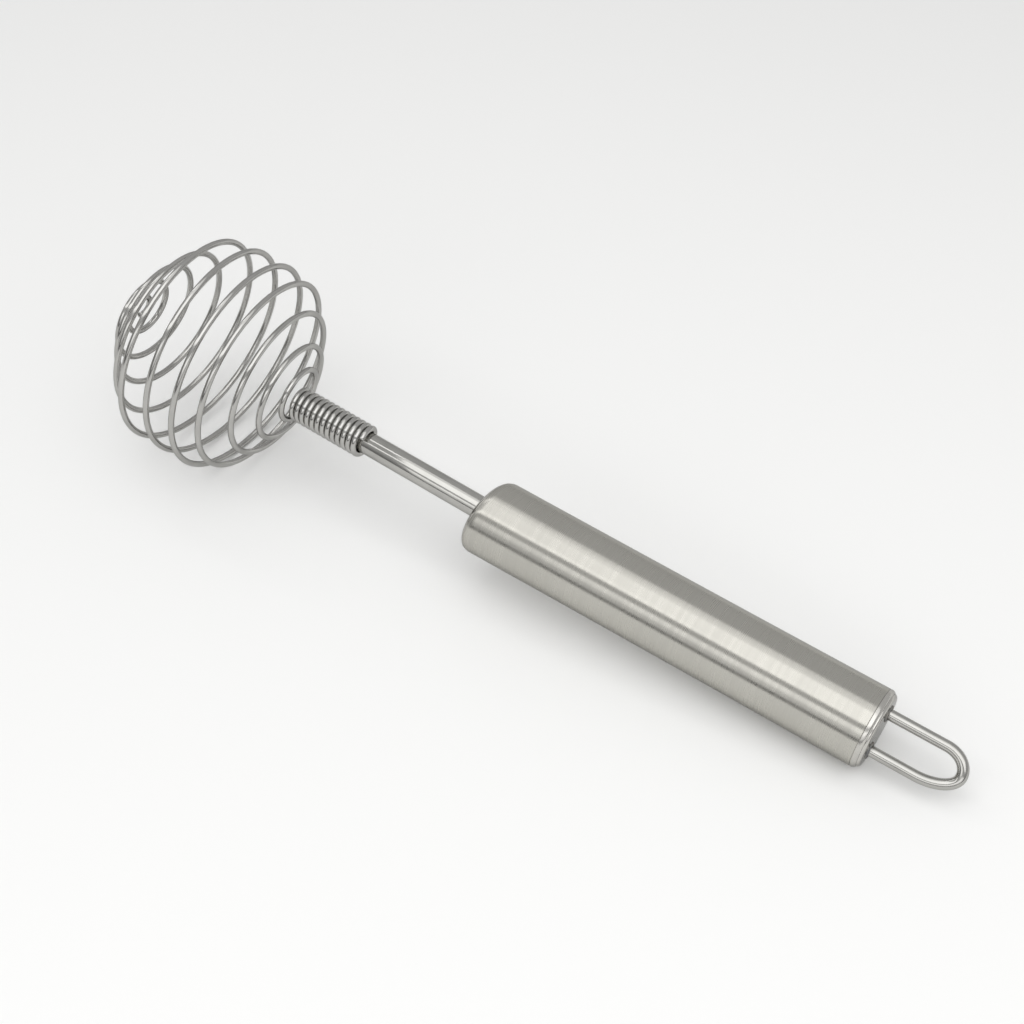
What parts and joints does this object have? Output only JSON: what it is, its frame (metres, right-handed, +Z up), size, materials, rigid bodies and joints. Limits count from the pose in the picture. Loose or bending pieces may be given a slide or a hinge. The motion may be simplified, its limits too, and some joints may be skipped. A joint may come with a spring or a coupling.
{
  "type": "ball whisk",
  "caption": "Hand whisk: a spring wire wound as an open ball on a rod, a round tubular handle with end caps and a wire hanging loop.",
  "frame": {"origin": "on the table under the middle of the whisk as it lies on its ball and on the edge of its rear cap", "axes": "+X along the whisk from the ball to the hanging loop, level with the table, +Z up"},
  "size_m": [0.2438, 0.0592, 0.0603],
  "materials": {
    "spring_wire": "drawn spring wire, polished",
    "polished_steel": "polished",
    "satin_steel": "satin, ground round the tube",
    "cap_steel": "pressed and polished",
    "weld_bead": "as welded, dull"
  },
  "bodies": {
    "root": {"whisk_spring": "spring_wire", "shaft_rod": "polished_steel", "rod_weld": "weld_bead", "front_cap": "cap_steel", "handle_tube": "satin_steel", "rear_cap": "cap_steel", "hanging_loop": "polished_steel", "loop_welds": "weld_bead"}
  },
  "joints": []
}
